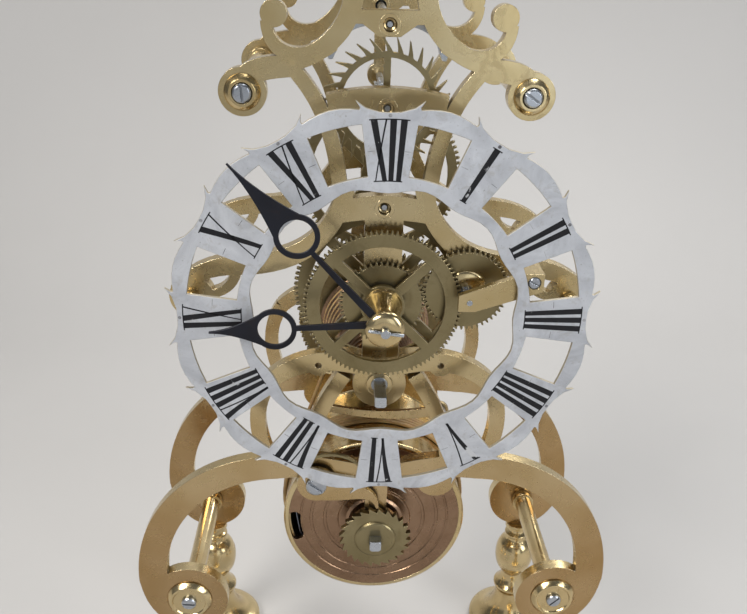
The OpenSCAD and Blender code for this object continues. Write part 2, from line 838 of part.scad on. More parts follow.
// Stepped cone with a round-bottomed groove for every turn of the line
module fusee_cone() {
    groove = (line_radius + 0.03) / cos(22.5);
    edge = 0.5;
    color(red_brass) turned(0, fusee_level, fusee_front, concat(
        [[fusee_shaft + 0.02, -0.6], [fusee_small + 0.6, -0.6], [fusee_small + 0.6, 0]],
        [for (i = [0:fusee_turns - 1]) each [
            [fusee_radius(i) + edge, groove_y(i) - groove],
            for (k = [0:4]) let (a = 180 + 45 * k)
                [fusee_radius(i) + groove * sin(a), groove_y(i) + groove * cos(a)],
            [fusee_radius(i) + edge, groove_y(i) + groove]
        ]],
        [[fusee_large + 1.6, 37.2], [fusee_large + 1.6, 38], [fusee_shaft + 0.02, 38]]
    ));
}

square_across = 4.4;
square_front = dial_face + 2.5;
module fusee_arbor() {
    color(steel) {
        intersection() {
            translate([-square_across / 2, square_front, centre_height + fusee_level - square_across / 2])
                cube([square_across, front_face - square_front - 1, square_across]);
            turned(0, fusee_level, square_front, [[0, 0], [2.6, 0], [3.1, 0.8], [3.1, 20], [0, 20]]);
        }
        rod(0, fusee_level, front_face - 1.01, front_inner + 1.2, fusee_front_pivot);
        rod(0, fusee_level, front_inner + 1.19, fusee_front - 2.5, 2.4);
        rod(0, fusee_level, fusee_front - 2.51, great_plane + 3.4, fusee_shaft);
        rod(0, fusee_level, great_plane + 3.39, rear_face + 0.6, fusee_rear_pivot);
        // nose of the stop work
        translate([0, 0, fusee_level]) upright(fusee_front - 2.5, 1.6)
            polygon([[-4, 0], [-4, 3], [0, 15], [2.6, 14.6], [4.5, 4], [4, 0]]);
    }
}

ratchet_tip = 14;
ratchet_teeth = 24;
click_turn = 200;
ratchet_first = click_turn + 10;
module saw_teeth(n, tip, depth, first) {
    polygon([for (i = [0:n - 1]) let (a = first + i * 360 / n) each [
        polar(tip, a), polar(tip - depth, a + 12 / n), polar(tip - depth * 0.8, a + 110 / n)
    ]]);
}

ratchet_plane = fusee_front + 38.05;
module fusee_ratchet() {
    color(steel) translate([0, 0, fusee_level]) upright(ratchet_plane, 2) difference() {
        saw_teeth(ratchet_teeth, ratchet_tip, 1.8, ratchet_first);
        circle(fusee_shaft + running_gap);
    }
}

click_pivot = 24;
// Pawl on the great wheel, shown lifted just clear of the ratchet's teeth
module fusee_click() {
    color(steel) translate([0, 0, fusee_level]) {
        upright(ratchet_plane + 0.2, 1.6) rotate(click_turn) difference() {
            union() {
                disc_at(click_pivot, 0, 3.4);
                ribbon(cubic([click_pivot, 0], [22, 6], [17.5, 9.4], [11.8, 9], 8), 4, 1.1);
            }
            disc_at(click_pivot, 0, 1.3);
        }
    }
}

module fusee_line() {
    for (i = [8:fusee_turns - 1]) color(gut)
        turned(0, fusee_level, fusee_front + groove_y(i), [
            for (k = [0:11]) [fusee_radius(i) + line_radius * cos(30 * k), line_radius * sin(30 * k)]
        ]);
}

// The straight run from the fusee's groove down to the barrel, on the left
run_turn = 7;
run_y = fusee_front + groove_y(run_turn);
barrel_wrap = barrel_radius + line_radius + 0.05;
module line_run() {
    lean = asin((barrel_wrap - fusee_radius(run_turn)) / (fusee_level - barrel_level));
    from = [-fusee_radius(run_turn) * cos(lean), fusee_level + fusee_radius(run_turn) * sin(lean)];
    to = [-barrel_wrap * cos(lean), barrel_level + barrel_wrap * sin(lean)];
    color(gut) translate([from[0], run_y, centre_height + from[1]])
        rotate([0, 180 + atan2(from[0] - to[0], from[1] - to[1]), 0])
            cylinder(h = norm(to - from), r = line_radius);
}

module barrel_line() {
    for (i = [1:5]) color(gut) turned(0, barrel_level, run_y - 2.1 * i, [
        for (k = [0:11]) [barrel_wrap + line_radius * cos(30 * k), line_radius * sin(30 * k)]
    ]);
}

// ---------- barrel ----------

barrel_front = plates_middle - 28;
barrel_back = plates_middle + 18;
barrel_wall = 2.5;
cap_thick = 2.2;
barrel_hub = 5;

module barrel_drum() {
    depth = barrel_back - barrel_front;
    inner = barrel_radius - barrel_wall;
    color(red_brass) turned(0, barrel_level, barrel_front, [
        [inner + 0.7, 0], [barrel_radius - 0.5, 0],
        [barrel_radius + 0.4, 0.6], [barrel_radius + 0.4, 1.6],
        [barrel_radius, 2], [barrel_radius, depth - 2], [barrel_radius + 0.4, depth - 1.6],
        [barrel_radius + 0.4, depth - 0.4], [barrel_radius - 0.6, depth], [12, depth], [11, depth + 2],
        [barrel_hub + running_gap, depth + 2], [barrel_hub + running_gap, depth - 2.5],
        [inner, depth - 2.5], [inner, cap_thick], [inner + 0.7, cap_thick]
    ]);
}

// Snap-in cover with turned rings and a notch to prise it off
notch_turn = 187;
notch_at = 35.2;
notch_radius = 2.8;
module barrel_cap() {
    edge = barrel_radius - barrel_wall + 0.65;
    color(red_brass) difference() {
        turned(0, barrel_level, barrel_front, [
            [barrel_hub + running_gap, -2.2], [11.5, -2.2], [12.5, -1.2], [15.6, -1.2], [16.2, 0],
            [21, 0], [21.3, 0.4], [22.3, 0.4], [22.6, 0], [27, 0], [27.3, 0.4], [28.3, 0.4], [28.6, 0],
            [31.8, 0], [32.1, 0.4], [32.7, 0.4], [33, 0], [edge, 0],
            [edge, cap_thick - 0.02], [barrel_hub + running_gap, cap_thick - 0.02]
        ]);
        for (s = [-2:2]) rotate_about_barrel(notch_turn + 4 * s)
            rod(notch_at, 0, barrel_front - 1, barrel_front + 4, notch_radius);
    }
}

// Turns its children about the barrel's axis, anticlockwise from the front
module rotate_about_barrel(a) {
    translate([0, 0, centre_height + barrel_level]) rotate([0, -a, 0]) translate([0, 0, -centre_height])
        children();
}

spring_turns = 9;
// Coiled mainspring, loose between the barrel wall and the arbor
module mainspring() {
    inner = 13;
    outer = barrel_radius - barrel_wall - 1.2;
    steps = 20 * spring_turns;
    strip = 0.5;
    strip_wide = 34;
    color(steel) translate([0, 0, barrel_level]) upright(barrel_front + cap_thick + 1.5, strip_wide)
        polygon(concat(
            [for (i = [0:steps]) polar(inner + (outer - inner) * i / steps + strip / 2, 18 * i)],
            [for (i = [steps:-1:0]) polar(inner + (outer - inner) * i / steps - strip / 2, 18 * i)]
        ));
}

setup_square = 4.8;
module barrel_arbor() {
    front = front_face - 9;
    color(steel) {
        intersection() {
            translate([-setup_square / 2, front, centre_height + barrel_level - setup_square / 2])
                cube([setup_square, 8.6, setup_square]);
            turned(0, barrel_level, front, [[0, 0], [2.8, 0], [3.35, 0.8], [3.35, 20], [0, 20]]);
        }
        rod(0, barrel_level, front_face - 0.7, rear_face + 0.6, barrel_pivot);
        rod(0, barrel_level, front_inner + shoulder_gap, rear_inner - shoulder_gap, barrel_hub - 0.02);
        rod(0, barrel_level, barrel_front + cap_thick + 0.5, barrel_back - 3.2, 10.5);
    }
}

setup_plane = front_face - 3.6;
setup_tip = 15.5;
setup_teeth = 24;
setup_first = 11;
module setup_ratchet() {
    color(pale_brass) translate([0, 0, barrel_level]) difference() {
        union() {
            upright(setup_plane, 2.4) saw_teeth(setup_teeth, setup_tip, 2.2, setup_first);
            turned_local(setup_plane - 1.2, [[0, 0], [8, 0], [8.8, 0.6], [8.8, 1.3], [0, 1.3]]);
        }
        translate([-setup_square / 2 - 0.05, setup_plane - 2, centre_height - setup_square / 2 - 0.05])
            cube([setup_square + 0.1, 6, setup_square + 0.1]);
    }
}

module turned_local(y0, profile) {
    translate([0, y0, centre_height]) rotate([-90, 0, 0]) rotate_extrude() polygon(profile);
}

// Comma-shaped click, shown lifted just clear of the set-up ratchet
module setup_click() {
    color(pale_brass) upright(setup_plane + 0.1, 2.2) difference() {
        union() {
            disc_at(click_x, click_level, 8);
            ribbon(cubic(
                [click_x + 1, click_level - 1.5], [-12, -88], [-1, -84], [0.6, -95.2], 14
            ), 12.5, 1);
        }
        disc_at(click_x, click_level, 2.6 + running_gap);
    }
}

module setup_click_screw() {
    color(steel) {
        slotted_screw(click_x, click_level, setup_plane - 0.1, 4.2, 1.6, 2.6, 3.65, 40);
        rod(click_x, click_level, front_face - 0.06, front_inner - 0.5, 1.75);
    }
}

module setup_click_spring() {
    color(brass) upright(setup_plane + 1, 1.4) difference() {
        union() {
            disc_at(click_x - 3, click_level + 12, 2.4);
            ribbon(cubic(
                [click_x - 3, click_level + 12], [-18, -66], [-8, -70], [-5.5, -78.2], 10
            ), 1.6, 0.7);
        }
        disc_at(click_x - 3, click_level + 12, 1);
    }
}

// ---------- stop work ----------

stop_plane = fusee_front - 2.6;
module stop_lever() {
    color(brass) upright(stop_plane, 1.8) difference() {
        union() {
            disc_at(stop_x, stop_level, 4);
            ribbon(cubic([stop_x, stop_level], [10, -62], [-8, -60], [-20, -57], 12), 4.5, 3);
        }
        disc_at(stop_x, stop_level, 1.5 + running_gap);
    }
}

module stop_stud() {
    color(steel) {
        rod(stop_x, stop_level, front_face + 1, stop_plane + 2.4, 1.5);
        rod(stop_x, stop_level, front_inner, stop_plane - 0.3, 2.8);
        rod(stop_x, stop_level, stop_plane + 2.1, stop_plane + 3, 2.6);
    }
}

// ---------- escapement and pendulum ----------

module pallets() {
    color(steel) translate([0, 0, pallet_level]) upright(escape_plane - 0.6, 2.8) difference() {
        union() {
            circle(4.2);
            both_sides() ribbon(cubic([0, 0.6], [9, 2.4], [18.2, -1.6], [19.3, -9.9], 12), 4.6, 3.2);
            both_sides() outline([[17.7, -9.6], [20.9, -10.1], [20.2, -12.4], [18.8, -12.4]]);
        }
        circle(1.5);
    }
}

cock_plane = rear_face + 5;
cock_thick = 3;
module pallet_arbor() {
    color(steel) {
        rod(0, pallet_level, front_face + pivot_recess, cock_plane + cock_thick + 0.4, small_pivot);
        rod(0, pallet_level, front_inner + shoulder_gap, cock_plane - shoulder_gap, 1.5);
    }
}

pendulum_y = rear_face + pendulum_gap;
rod_radius = 1.5;
fork_level = 60;
// Arm on the pallet arbor whose fork straddles the pendulum rod
module crutch() {
    color(steel) {
        difference() {
            union() {
                translate([0, 0, pallet_level]) upright(rear_face + 1, 2.6) circle(3.6);
                upright(rear_face + 1.4, 1.6) translate([-1.5, fork_level - 2])
                    square([3, pallet_level - fork_level - 1]);
            }
            rod(0, pallet_level, rear_face, rear_face + 6, 1.5);
        }
        translate([-3.4, rear_face + 1.4, centre_height + fork_level - 4]) cube([6.8, 1.6, 4]);
        for (s = [-1, 1]) translate([s * 2.5 - 0.7, rear_face + 2.9, centre_height + fork_level - 4])
            cube([1.4, pendulum_y - rear_face - 0.4, 2.4]);
    }
}

spring_slot = 0.4;
module back_cock() {
    color(brass) difference() {
        union() {
            upright(cock_plane, cock_thick) outline([
                [-11.5, 118], [11.5, 118], [11.5, 109.5], [6.5, 101],
                [5, 93.4], [-5, 93.4], [-6.5, 101], [-11.5, 109.5]
            ]);
            for (s = [-1, 1]) rod(s * back_screw_x, back_screw_level, rear_face, cock_plane + 0.01, 3.2);
            translate([-3.5, cock_plane + cock_thick - 0.01, centre_height + 106])
                cube([7, pendulum_y + 4 - cock_plane - cock_thick, 7]);
        }
        rod(0, pallet_level, cock_plane - 1, cock_plane + 5, small_pivot + running_gap);
        for (s = [-1, 1]) rod(s * back_screw_x, back_screw_level, rear_face - 1, cock_plane + 5, 1.3);
        // slot that grips the top of the suspension spring
        translate([-spring_slot, pendulum_y - 3.5, centre_height + 105]) cube([2 * spring_slot, 8, 9]);
    }
}

module back_cock_screws() {
    for (s = [-1, 1]) color(steel) mirror([0, 1, 0])
        slotted_screw(s * back_screw_x, back_screw_level, -cock_plane - cock_thick,
            2.4, 1.4, 1.25, 12, 25 * s);
}

// Thin strip spring: the pendulum bends it level with the pallet arbor
module suspension_spring() {
    color(steel) {
        translate([-0.1, pendulum_y - 3, centre_height + 92.5]) cube([0.2, 6, 17]);
        translate([-spring_slot + 0.02, pendulum_y - 3.4, centre_height + 106.2])
            cube([2 * spring_slot - 0.04, 6.8, 6.5]);
    }
}

module pendulum_rod() {
    top = centre_height + 95.4;
    bottom = centre_height + pallet_level - pendulum_length - bob_radius - 9;
    color(steel) difference() {
        union() {
            translate([0, pendulum_y, bottom]) cylinder(h = top - 6 - bottom, r = rod_radius);
            translate([-2.2, pendulum_y - 4, top - 7]) cube([4.4, 8, 7]);
        }
        translate([-0.45, pendulum_y - 3.3, top - 4.6]) cube([0.9, 6.6, 8]);
    }
}

module pendulum_bob() {
    middle = centre_height + pallet_level - pendulum_length;
    rim = 0.8;
    belly = bob_half - rim;
    color(brass) difference() {
        translate([0, pendulum_y, middle]) rotate([90, 0, 0]) rotate_extrude() polygon(concat(
            [for (i = [0:8]) let (a = i * 11.25) [bob_radius * cos(a), -rim - belly * sin(a)]],
            [for (i = [8:-1:0]) let (a = i * 11.25) [bob_radius * cos(a), rim + belly * sin(a)]]
        ));
        translate([0, pendulum_y, middle - bob_radius - 1])
            cylinder(h = 2 * bob_radius + 2, r = rod_radius + 0.05);
    }
}

module rating_nut() {
    level = centre_height + pallet_level - pendulum_length - bob_radius - 5.6;
    color(pale_brass) translate([0, pendulum_y, level]) difference() {
        union() {
            cylinder(h = 3.4, r = 5);
            cylinder(h = 5.4, r = 3);
        }
        translate([0, 0, -1]) cylinder(h = 8, r = rod_radius + 0.05);
        for (k = [0:15]) rotate(22.5 * k) translate([5.1, 0, -1]) cylinder(h = 6, r = 0.4, $fn = 8);
    }
}

front_plate();
rear_plate();
pillars();
pillar_collets();
pillar_screws();
turned_feet();
front_bushes();
rear_bushes();
dial_ring();
dial_feet();
dial_pins();
minute_cock();
cock_screws();
hour_hand();
minute_hand();
hand_collet();
hand_pin();
hour_wheel();
hour_pipe();
cannon_wheel();
cannon_pipe();
minute_wheel();
minute_arbor();
minute_hub();
centre_arbor();
centre_wheel();
third_arbor();
third_wheel();
escape_arbor();
escape_wheel();
great_wheel();
fusee_cone();
fusee_arbor();
fusee_ratchet();
fusee_click();
fusee_line();
line_run();
barrel_line();
barrel_drum();
barrel_cap();
mainspring();
barrel_arbor();
setup_ratchet();
setup_click();
setup_click_screw();
setup_click_spring();
stop_lever();
stop_stud();
pallets();
pallet_arbor();
crutch();
back_cock();
back_cock_screws();
suspension_spring();
pendulum_rod();
pendulum_bob();
rating_nut();
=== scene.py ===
"""Looks of the skeleton clock: finishes, rounded edges, dial numerals, studio and camera."""
import math

import bmesh
import bpy
from mathutils import Matrix, Vector


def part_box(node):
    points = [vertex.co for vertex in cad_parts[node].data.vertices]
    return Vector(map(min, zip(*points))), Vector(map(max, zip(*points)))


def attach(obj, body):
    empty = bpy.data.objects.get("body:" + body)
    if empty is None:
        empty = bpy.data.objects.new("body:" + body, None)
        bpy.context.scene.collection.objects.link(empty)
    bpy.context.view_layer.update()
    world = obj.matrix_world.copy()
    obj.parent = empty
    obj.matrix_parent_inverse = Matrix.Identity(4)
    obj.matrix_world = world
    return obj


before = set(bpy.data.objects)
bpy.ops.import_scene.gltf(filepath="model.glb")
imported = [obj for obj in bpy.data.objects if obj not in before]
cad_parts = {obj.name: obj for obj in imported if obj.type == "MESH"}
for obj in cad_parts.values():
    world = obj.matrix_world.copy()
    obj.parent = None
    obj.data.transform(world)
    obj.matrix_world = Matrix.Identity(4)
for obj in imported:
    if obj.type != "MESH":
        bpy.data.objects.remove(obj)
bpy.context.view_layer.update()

MM = 0.001

# ---------- places read from the frame ----------


def middle(node):
    low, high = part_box(node)
    return (low + high) / 2


def front_of(node):
    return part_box(node)[0].y


dial_centre = middle("centre_wheel")
dial_front = front_of("dial_ring")

# ---------- small helpers for shader trees ----------


class Tree:
    """Builds one material's nodes; a socket or a plain value may feed any input."""

    def __init__(self, name):
        self.material = bpy.data.materials.new(name)
        self.material.use_nodes = True
        self.tree = self.material.node_tree
        self.tree.nodes.clear()

    def add(self, kind, inputs=None, **settings):
        node = self.tree.nodes.new("ShaderNode" + kind)
        for key, value in settings.items():
            setattr(node, key, value)
        for key, value in (inputs or {}).items():
            self.feed(node.inputs[key], value)
        return node

    def feed(self, socket, value):
        if isinstance(value, bpy.types.NodeSocket):
            self.tree.links.new(value, socket)
        else:
            socket.default_value = value

    def times(self, a, b):
        return self.math("MULTIPLY", a, b)

    def math(self, operation, a, b=0.0, clamp=False):
        return self.add("Math", {0: a, 1: b}, operation=operation, use_clamp=clamp).outputs[0]

    def ramp(self, value, low, high, start=0.0, end=1.0):
        """Value stretched so that low..high becomes start..end, clamped."""
        return self.add("MapRange", {
            "Value": value, "From Min": low, "From Max": high, "To Min": start, "To Max": end,
        }).outputs["Result"]

    def mix(self, factor, a, b, blend="MIX"):
        node = self.add("Mix", data_type="RGBA", blend_type=blend)
        colours = [s for s in node.inputs if s.type == "RGBA"]
        self.feed(node.inputs[0], factor)
        self.feed(colours[0], a)
        self.feed(colours[1], b)
        return [s for s in node.outputs if s.type == "RGBA"][0]

    def noise(self, vector, scale, detail=4.0, rough=0.55, distortion=0.0):
        return self.add("TexNoise", {
            "Vector": vector, "Scale": scale, "Detail": detail, "Roughness": rough,
            "Distortion": distortion,
        }).outputs["Fac"]

    def place(self, origin=(0, 0, 0), scale=(1, 1, 1)):
        """Object coordinates measured from origin, then stretched by scale."""
        coords = self.add("TexCoord").outputs["Object"]
        moved = self.add("VectorMath", {0: coords, 1: origin}, operation="SUBTRACT").outputs[0]
        return self.add("VectorMath", {0: moved, 1: scale}, operation="MULTIPLY").outputs[0]

    def finish(self, surface):
        output = self.add("OutputMaterial")
        self.tree.links.new(surface, output.inputs["Surface"])
        return self.material


def rgba(colour):
    return (*colour, 1.0)


# ---------- grain: the marks that each way of working leaves ----------


def grain_of(t, way, origin):
    """A 0..1 pattern of fine parallel marks for the way the piece was worked, in marks per metre."""
    if way == "turned":                       # rings about an axis that runs front to back
        at = t.place(origin)
        x, y, z = t.add("SeparateXYZ", {0: at}).outputs
        radius = t.math("SQRT", t.math("ADD", t.times(x, x), t.times(z, z)))
        rings = t.add("CombineXYZ", {0: t.times(radius, 4200.0), 1: t.times(y, 3000.0)})
        return t.noise(rings.outputs[0], 1.0, 2.0)
    if way == "spun":                         # rings about an upright axis
        return t.noise(t.place(origin, (30, 30, 3600)), 1.0, 2.0)
    if way == "crosswise":                    # filed along X
        return t.noise(t.place(origin, (90, 900, 3400)), 1.0, 2.0)
    return t.noise(t.place(origin, (1400, 500, 160)), 1.0, 3.0)      # filed along Z


def rubbed_edges(t, radius, worn):
    """The normal eased over the edges, the true normal, and 0..1 where an edge is rubbed bright."""
    eased = t.add("Bevel", {"Radius": radius}, samples=4).outputs["Normal"]
    true = t.add("NewGeometry").outputs["Normal"]
    facing = t.add("VectorMath", {0: eased, 1: true}, operation="DOT_PRODUCT").outputs["Value"]
    return eased, true, t.ramp(facing, 0.995, worn)


# ---------- metals ----------

REFLECTION_TOP = 0.235          # metres above the table: no painted reflection above this height
REFLECTION_FOOT = 0.135         # painted reflection and shade at full strength below this one


def metal(name, finish, way, origin):
    """Worn, hand-finished metal: tone drift, tarnish, smears, grain, bright edges, grime and painted
    shade in corners, painted reflection low down.
    """
    t = Tree(name)
    coords = t.place(origin)                  # every noise scale below is in features per metre
    drift = t.ramp(t.noise(coords, 32.0, 3.0), 0.35, 0.68)
    blotch = t.ramp(t.noise(coords, 150.0, 6.0, 0.65, 0.6), 0.52, 0.74)
    specks = t.ramp(t.noise(coords, 900.0, 3.0, 0.7), 0.64, 0.74)
    smear = t.ramp(t.noise(coords, 75.0, 4.0, 0.6, 1.8), 0.4, 0.7)
    grain = grain_of(t, way, origin)

    soft_normal, hard_normal, rubbed = rubbed_edges(t, 0.22 * MM, 0.86)
    # painted shade: corners and recesses found by ambient occlusion are darkened, standing in for shade
    # as well as grime
    open_sky = t.add("AmbientOcclusion", {"Distance": 3.5 * MM}, samples=4).outputs["AO"]
    corner = t.ramp(open_sky, 0.75, 0.2)

    colour = t.mix(drift, rgba(finish["light"]), rgba(finish["deep"]))
    # painted reflection and shade: front and back faces are darkened and reddened towards the bottom,
    # as if reflecting a red cloth; upward faces are left bright
    if "reflection_tint" in finish:
        height = t.add("SeparateXYZ", {0: t.place()}).outputs[2]
        uneven = t.math("ADD", height, t.times(t.noise(coords, 25.0, 2.0), 0.04))
        flat = t.math("ABSOLUTE", t.add("SeparateXYZ", {0: hard_normal}).outputs[1])
        painted_low_reflection = t.times(t.ramp(uneven, REFLECTION_TOP, REFLECTION_FOOT), t.ramp(flat, 0.5, 0.9))
        colour = t.mix(painted_low_reflection, colour, t.mix(1.0, colour, rgba(finish["reflection_tint"]), "MULTIPLY"))
    colour = t.mix(t.times(blotch, finish["tarnish"]), colour, rgba(finish["stain"]))
    colour = t.mix(t.times(specks, 0.5 * finish["tarnish"]), colour, rgba(finish["grime_and_shade"]))
    # corners darkened by grime and painted shade
    colour = t.mix(t.times(corner, 0.75), colour, rgba(finish["grime_and_shade"]))
    colour = t.mix(t.times(rubbed, 0.55), colour, rgba(finish["bright"]))

    rough = t.math("ADD", finish["rough"], t.times(smear, finish["smear"]))
    rough = t.math("ADD", rough, t.times(blotch, 0.16))
    rough = t.math("ADD", rough, t.times(corner, 0.25))
    rough = t.math("ADD", rough, t.times(t.ramp(grain, 0.3, 0.7), finish["grain"]))
    rough = t.math("SUBTRACT", rough, t.times(rubbed, 0.08), clamp=True)

    marks = t.add("Bump", {
        "Strength": finish["grain"], "Distance": 0.06 * MM, "Height": grain, "Normal": soft_normal,
    }).outputs[0]
    dents = t.add("Bump", {
        "Strength": 0.05, "Distance": 0.35 * MM, "Height": t.noise(coords, 60.0, 1.0),
        "Normal": marks,
    }).outputs[0]
    surface = t.add("BsdfPrincipled", {
        "Base Color": colour, "Metallic": finish.get("metallic", 1.0), "Roughness": rough,
        "Normal": dents,
    })
    return t.finish(surface.outputs[0])


# light, deep: the clean metal's two tones; bright: rubbed edges; stain: spots; grime_and_shade: dirt
# specks, and corners darkened by grime and painted shade; reflection_tint: painted reflection and shade
# low down;
# rough: roughness; smear, grain, tarnish: how far each of them shows
FINISHES = {
    "plate_brass": dict(light=(0.68, 0.56, 0.33), deep=(0.57, 0.44, 0.22), bright=(0.92, 0.83, 0.60),
                        stain=(0.42, 0.30, 0.14), grime_and_shade=(0.08, 0.056, 0.03), rough=0.19, smear=0.09,
                        grain=0.02, tarnish=0.2, reflection_tint=(0.72, 0.60, 0.52)),
    "wheel_brass": dict(light=(0.33, 0.275, 0.155), deep=(0.24, 0.195, 0.10), bright=(0.74, 0.64, 0.40),
                        stain=(0.18, 0.13, 0.06), grime_and_shade=(0.04, 0.03, 0.018), rough=0.26, smear=0.12,
                        grain=0.07, tarnish=0.45),
    "turned_brass": dict(light=(0.70, 0.57, 0.33), deep=(0.60, 0.45, 0.22), bright=(0.93, 0.83, 0.56),
                         stain=(0.36, 0.25, 0.11), grime_and_shade=(0.07, 0.05, 0.026), rough=0.14, smear=0.10,
                         grain=0.06, tarnish=0.25),
    "red_brass": dict(light=(0.36, 0.235, 0.15), deep=(0.26, 0.16, 0.10), bright=(0.80, 0.62, 0.42),
                      stain=(0.20, 0.12, 0.06), grime_and_shade=(0.045, 0.03, 0.017), rough=0.22, smear=0.12,
                      grain=0.06, tarnish=0.4),
    "bright_steel": dict(light=(0.54, 0.57, 0.61), deep=(0.42, 0.45, 0.50), bright=(0.80, 0.84, 0.90),
                         stain=(0.25, 0.24, 0.24), grime_and_shade=(0.04, 0.037, 0.034), rough=0.22, smear=0.12,
                         grain=0.07, tarnish=0.35),
    "spring_steel": dict(light=(0.26, 0.28, 0.33), deep=(0.16, 0.19, 0.25), bright=(0.55, 0.58, 0.66),
                         stain=(0.16, 0.12, 0.09), grime_and_shade=(0.03, 0.027, 0.024), rough=0.3, smear=0.12,
                         grain=0.07, tarnish=0.4),
    "blued_steel": dict(light=(0.017, 0.019, 0.028), deep=(0.010, 0.010, 0.014),
                        bright=(0.08, 0.08, 0.10), stain=(0.03, 0.019, 0.014),
                        grime_and_shade=(0.005, 0.004, 0.004), rough=0.34, smear=0.16, grain=0.04,
                        tarnish=0.5, metallic=0.6),
}


def silvered_dial(name, origin):
    """Matt silvering over brass: pale grey, softly mottled, with rubbed and stained places."""
    t = Tree(name)
    coords = t.place(origin)
    cloud = t.ramp(t.noise(coords, 60.0, 6.0, 0.62, 1.0), 0.34, 0.68)
    foxing = t.ramp(t.noise(coords, 210.0, 6.0, 0.72, 0.5), 0.55, 0.72)
    pits = t.ramp(t.noise(coords, 1500.0, 2.0), 0.68, 0.76)
    grain = grain_of(t, "turned", origin)
    soft_normal, hard_normal, rubbed = rubbed_edges(t, 0.25 * MM, 0.85)
    side = t.math("ABSOLUTE", t.add("SeparateXYZ", {0: hard_normal}).outputs[1])
    face = t.ramp(side, 0.6, 0.9)
    colour = t.mix(cloud, rgba((0.63, 0.65, 0.69)), rgba((0.44, 0.455, 0.49)))
    colour = t.mix(t.times(foxing, 0.55), colour, rgba((0.36, 0.34, 0.31)))
    colour = t.mix(t.times(pits, 0.5), colour, rgba((0.16, 0.15, 0.13)))
    colour = t.mix(t.times(rubbed, 0.35), colour, rgba((0.80, 0.76, 0.66)))
    colour = t.mix(face, rgba((0.40, 0.36, 0.28)), colour)
    rough = t.math("ADD", 0.42, t.times(cloud, 0.16))
    bump = t.add("Bump", {
        "Strength": 0.16, "Distance": 0.05 * MM, "Height": grain, "Normal": soft_normal,
    }).outputs[0]
    surface = t.add("BsdfPrincipled", {
        "Base Color": colour, "Metallic": 0.55, "Roughness": rough, "Normal": bump,
    })
    return t.finish(surface.outputs[0])


def numeral_wax(name, origin, worn_at):
    """Black filling of the numerals, chipped here and there and mostly lost round one spot."""
    t = Tree(name)
    coords = t.place(origin)
    chips = t.ramp(t.noise(coords, 420.0, 5.0, 0.7, 0.4), 0.68, 0.73)
    from_spot = t.add("VectorMath", {0: t.place(worn_at)}, operation="LENGTH").outputs["Value"]
    nearby = t.ramp(from_spot, 7.0 * MM, 2.5 * MM)
    flaking = t.math("ADD", t.noise(coords, 210.0, 4.0), t.times(nearby, 0.26))
    patch = t.ramp(flaking, 0.70, 0.75)
    lost = t.math("MAXIMUM", t.times(chips, 0.6), patch)
    tone = t.mix(t.noise(coords, 300.0, 3.0), rgba((0.006, 0.006, 0.008)), rgba((0.014, 0.014, 0.016)))
    colour = t.mix(lost, tone, rgba((0.58, 0.59, 0.61)))
    rough = t.math("ADD", 0.38, t.times(t.noise(coords, 700.0, 3.0), 0.25))
    bump = t.add("Bump", {
        "Strength": 0.35, "Distance": 0.04 * MM, "Height": t.noise(coords, 1400.0, 3.0),
    }).outputs[0]
    surface = t.add("BsdfPrincipled", {
        "Base Color": colour, "Roughness": rough, "Metallic": t.times(lost, 0.5),
        "Normal": bump, "Specular IOR Level": 0.25,
    })
    return t.finish(surface.outputs[0])


def gut_cord(name, origin):
    """Twisted gut: amber, slightly waxy, darker where handled."""
    t = Tree(name)
    coords = t.place(origin)
    tone = t.ramp(t.noise(coords, 160.0, 4.0, 0.6), 0.35, 0.7)
    fibres = t.noise(t.place(origin, (900, 900, 900)), 3.0, 3.0, 0.6, 1.5)
    colour = t.mix(tone, rgba((0.50, 0.33, 0.14)), rgba((0.30, 0.18, 0.07)))
    colour = t.mix(t.ramp(fibres, 0.55, 0.75, 0.0, 0.5), colour, rgba((0.66, 0.50, 0.28)))
    bump = t.add("Bump", {"Strength": 0.5, "Distance": 0.1 * MM, "Height": fibres}).outputs[0]
    surface = t.add("BsdfPrincipled", {
        "Base Color": colour, "Roughness": t.ramp(fibres, 0.2, 0.8, 0.35, 0.6), "Normal": bump,
        "Subsurface Weight": 0.15, "Subsurface Scale": 0.6 * MM,
    })
    return t.finish(surface.outputs[0])


# ---------- finish and edges of every CAD node ----------

WAY = {
    "turned": (
        "pillars", "pillar_collets", "pillar_screws", "front_bushes", "rear_bushes", "dial_feet",
        "hand_collet", "hour_wheel", "hour_pipe", "cannon_wheel", "cannon_pipe", "minute_wheel",
        "minute_arbor", "minute_hub", "centre_arbor", "centre_wheel", "third_arbor", "third_wheel",
        "escape_arbor", "escape_wheel", "great_wheel", "fusee_cone", "fusee_arbor", "fusee_ratchet",
        "barrel_drum", "barrel_cap", "barrel_arbor", "setup_ratchet", "setup_click_screw", "stop_stud",
        "pallet_arbor", "pendulum_bob", "mainspring", "cock_screws", "back_cock_screws",
    ),
    "spun": ("turned_feet", "rating_nut", "pendulum_rod"),
    "crosswise": ("minute_cock", "back_cock", "stop_lever", "setup_click"),
}


def way_of(node):
    return next((way for way, nodes in WAY.items() if node in nodes), "filed")


def finish_node(name, part):
    """Gives one CAD node its own material, from the finish its record slot names."""
    slot = part.data.materials[0].name.split(".")[0]
    origin = middle(name)
    if slot == "silvered_brass":
        material = silvered_dial("silvered_" + name, dial_centre)
    elif slot == "gut_line":
        material = gut_cord("gut_" + name, origin)
    else:
        material = metal(slot + "_" + name, FINISHES[slot], way_of(name), origin)
    for place in part.material_slots:
        place.link = "OBJECT"
        place.material = material


